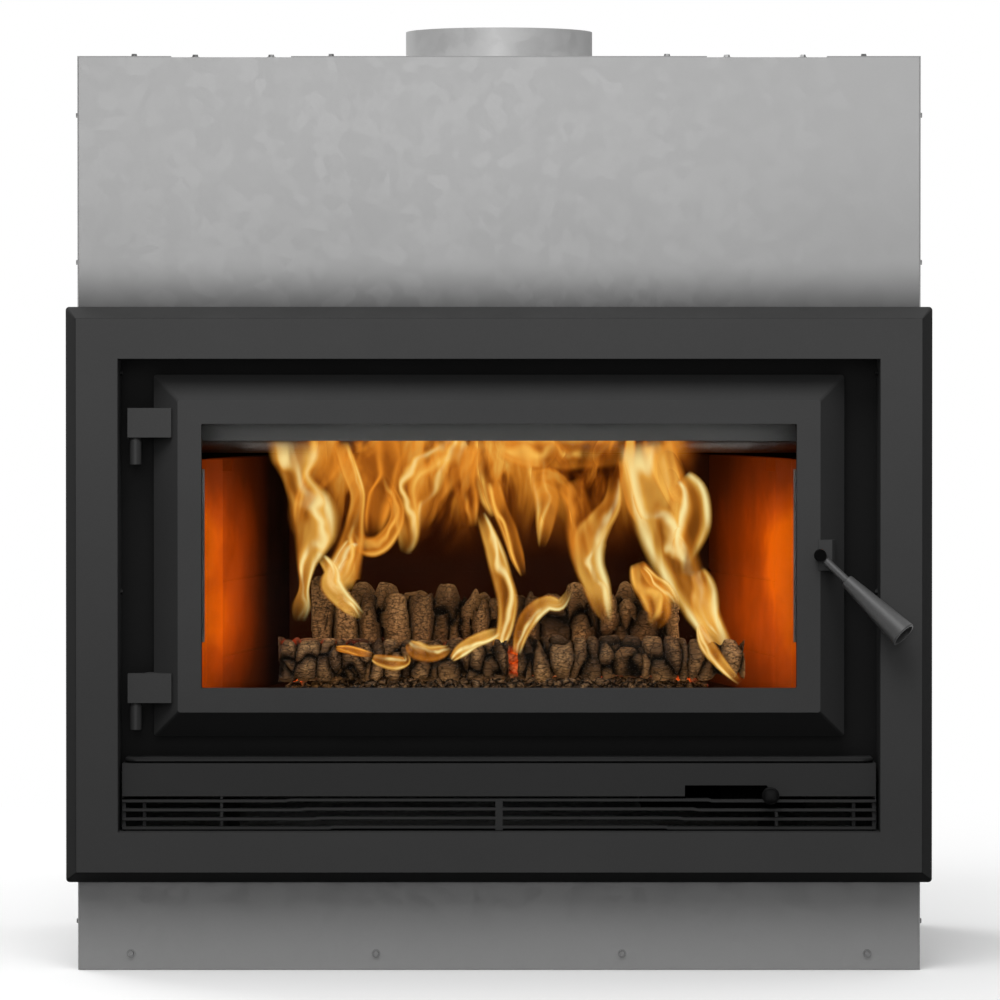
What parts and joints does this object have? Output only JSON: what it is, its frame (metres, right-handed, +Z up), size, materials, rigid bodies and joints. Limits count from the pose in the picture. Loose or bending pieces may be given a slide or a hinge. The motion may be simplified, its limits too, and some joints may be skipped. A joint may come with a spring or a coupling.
{
  "type": "fireplace insert",
  "caption": "Built-in wood fireplace insert: galvanised casing with flue collar, dark surround frame, hinged glass door with angled handle, air louvre and lined firebox with logs.",
  "frame": {"origin": "middle of the casing's underside, where it stands on the hearth slab", "axes": "+Z up the flue, +Y towards the chimney wall so that the door faces -Y, +X to the right seen from the front"},
  "size_m": [0.9, 0.6211, 0.9865],
  "materials": {
    "galvanised_sheet": "galvanised sheet, faint spangle",
    "satin_paint": "satin charcoal high-temperature paint",
    "cast_paint": "fine-textured charcoal paint on cast iron",
    "matt_plate": "matt black painted plate",
    "bare_steel": "plain mild steel",
    "refractory": "pressed refractory board",
    "rope_seal": "woven glass-fibre rope",
    "ceramic_glass": "clear ceramic glass",
    "charred_wood": "charred split logs",
    "embers": "glowing embers and ash"
  },
  "bodies": {
    "root": {"casing_left": "galvanised_sheet", "casing_right": "galvanised_sheet", "casing_front_upper": "galvanised_sheet", "casing_front_lower": "galvanised_sheet", "casing_base": "galvanised_sheet", "casing_back": "galvanised_sheet", "casing_top": "galvanised_sheet", "flue_collar": "galvanised_sheet", "flue_spigot": "bare_steel", "surround_frame": "satin_paint", "surround_bracket_left": "bare_steel", "surround_bracket_right": "bare_steel", "firebox_face": "matt_plate", "firebox_base": "matt_plate", "firebox_top": "matt_plate", "firebox_left": "matt_plate", "firebox_right": "matt_plate", "firebox_back": "matt_plate", "air_tube_1": "bare_steel", "air_tube_2": "bare_steel", "baffle_board": "refractory", "airwash_bar": "matt_plate", "lining_cheek_left": "refractory", "lining_cheek_right": "refractory", "lining_side_left": "refractory", "lining_side_right": "refractory", "lining_back": "refractory", "floor_bricks": "refractory", "log_retainer": "matt_plate", "ember_bed": "embers", "log_front_left": "charred_wood", "log_front_right": "charred_wood", "log_middle": "charred_wood", "log_rear": "charred_wood", "hearth_shelf": "satin_paint", "louvre_fascia": "satin_paint", "louvre_grille": "satin_paint", "primary_air_box": "bare_steel", "firebox_rail_left": "bare_steel", "firebox_rail_right": "bare_steel", "heat_shield_left": "galvanised_sheet", "heat_shield_right": "galvanised_sheet", "heat_shield_back": "galvanised_sheet", "heat_shield_top": "galvanised_sheet", "hinge_pin_upper": "cast_paint", "hinge_pin_lower": "cast_paint"},
    "door": {"door_frame": "cast_paint", "door_glass": "ceramic_glass", "glass_gasket": "rope_seal", "glass_clip_left": "bare_steel", "glass_clip_right": "bare_steel", "door_seal": "rope_seal", "hinge_leaf_upper": "cast_paint", "hinge_leaf_lower": "cast_paint"},
    "handle": {"latch_spindle": "bare_steel", "handle_rod": "cast_paint", "handle_grip": "cast_paint"},
    "air_control": {"air_slide": "bare_steel", "air_rod": "bare_steel", "air_knob": "satin_paint"}
  },
  "joints": [
    {"name": "door_swing", "type": "hinge", "parent": "root", "child": "door", "pos_m": [-0.377, -0.284, 0.431], "axis": [0, 0, -1], "range_deg": [0, 110]},
    {"name": "latch_turn", "type": "hinge", "parent": "door", "child": "handle", "pos_m": [0.3327, -0.303, 0.432], "axis": [0, 1, 0], "range_deg": [0, 46]},
    {"name": "air_slide_travel", "type": "slide", "parent": "root", "child": "air_control", "axis": [1, 0, 0], "range_m": [-0.08, 0]}
  ]
}
